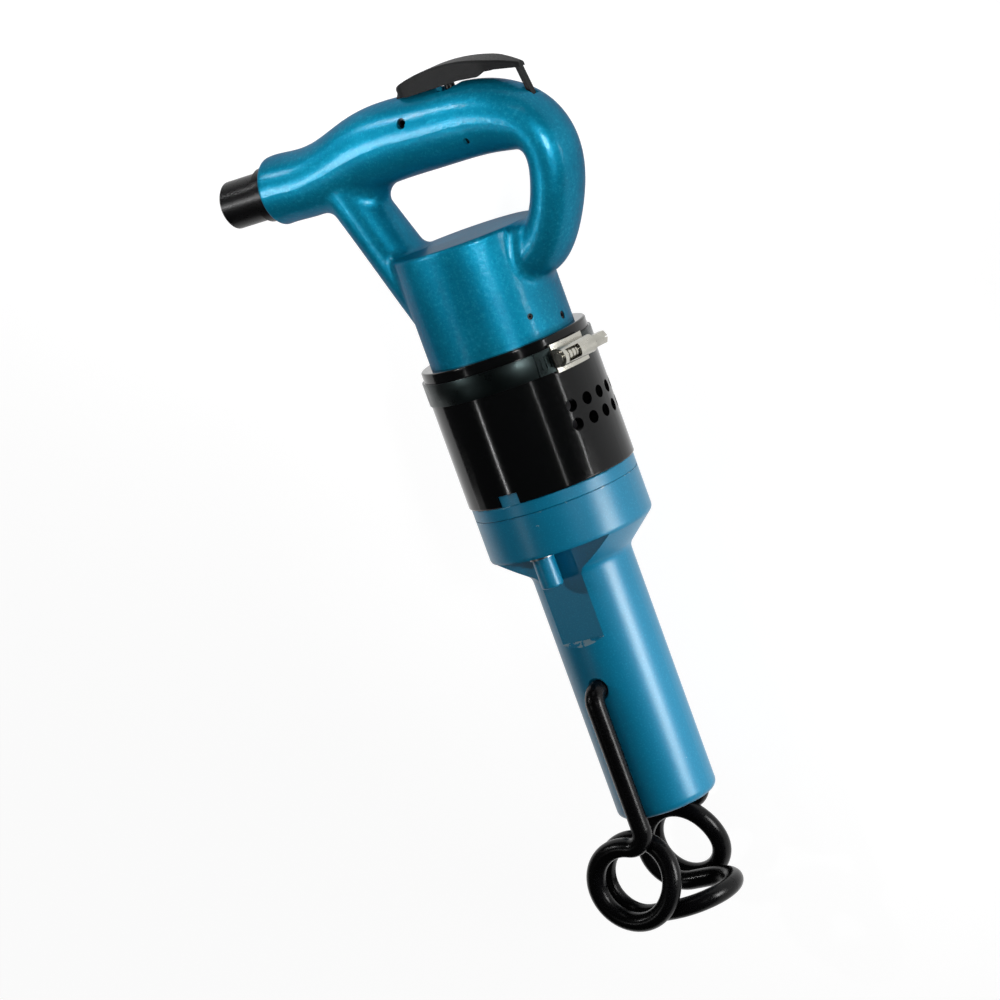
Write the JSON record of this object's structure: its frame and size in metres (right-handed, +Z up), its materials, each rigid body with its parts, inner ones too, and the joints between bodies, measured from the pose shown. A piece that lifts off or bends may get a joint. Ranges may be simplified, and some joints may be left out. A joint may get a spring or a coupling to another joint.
{
  "type": "pneumatic breaker",
  "caption": "Hand-held pneumatic breaker with a cast loop handle, throttle lever, black muffler sleeve with a worm clamp, slim nose and a coiled rod retainer.",
  "frame": {"origin": "centre of the mouth of the shank bore, where its lead-in chamfer ends", "axes": "+Y along the tool axis from the chuck to the handle, -X towards the air inlet, the hand loop in the XY plane, +Z up with the tool lying on its side"},
  "size_m": [0.246, 0.5378, 0.1078],
  "materials": {
    "cast_blue": "hammered blue paint on a casting",
    "smooth_blue": "smooth satin blue paint",
    "gloss_black": "glossy black",
    "black_steel": "satin black",
    "dark_steel": "oiled dark steel",
    "zinc_steel": "bright zinc",
    "plain_steel": "ground steel",
    "gasket": "pressed fibre",
    "rubber": "matte",
    "brass": "plain"
  },
  "bodies": {
    "tool": {"back_head": "cast_blue", "front_head": "smooth_blue", "cylinder": "smooth_blue", "side_bolts": "smooth_blue", "side_bolt_washers": "zinc_steel", "chuck_bush": "plain_steel", "valve_chest": "plain_steel", "valve_cover": "plain_steel", "valve_dowels": "plain_steel", "head_gasket": "gasket", "muffler_sleeve": "gloss_black", "clamp_band": "zinc_steel", "clamp_housing": "zinc_steel", "clamp_screw": "zinc_steel", "passage_plugs": "dark_steel", "inlet_bushing": "black_steel", "inlet_gasket": "gasket", "inlet_strainer": "brass", "lever_pin": "dark_steel", "bush_pin": "dark_steel", "throttle_bush": "plain_steel"},
    "lever": {"throttle_lever": "black_steel"},
    "throttle": {"throttle_valve": "plain_steel", "throttle_seal": "rubber", "throttle_spring": "plain_steel"},
    "piston": {"piston": "plain_steel"},
    "plate_valve": {"distributing_valve": "plain_steel"},
    "retainer": {"retainer_spring": "black_steel"}
  },
  "joints": [
    {"name": "lever_hinge", "type": "hinge", "parent": "tool", "child": "lever", "pos_m": [-0.002, 0.4435, 0], "axis": [0, 0, -1], "range_deg": [0, 4.5], "stiffness_Nm_per_rad": 8, "springref_deg": -5.73},
    {"name": "throttle_slide", "type": "slide", "parent": "tool", "child": "throttle", "axis": [0, -1, 0], "range_m": [0, 0.0024], "deforming": ["throttle_spring"]},
    {"name": "piston_slide", "type": "slide", "parent": "tool", "child": "piston", "axis": [0, 1, 0], "range_m": [0, 0.07]},
    {"name": "plate_valve_slide", "type": "slide", "parent": "tool", "child": "plate_valve", "axis": [0, 1, 0], "range_m": [0, 0.0025]},
    {"name": "retainer_hinge", "type": "hinge", "parent": "tool", "child": "retainer", "pos_m": [0, 0.0835, 0], "axis": [0, 0, 1], "range_deg": [0, 75]}
  ],
  "couplings": [
    {"joint": "throttle_slide", "follows": "lever_hinge", "m_per_rad": 0.029}
  ]
}
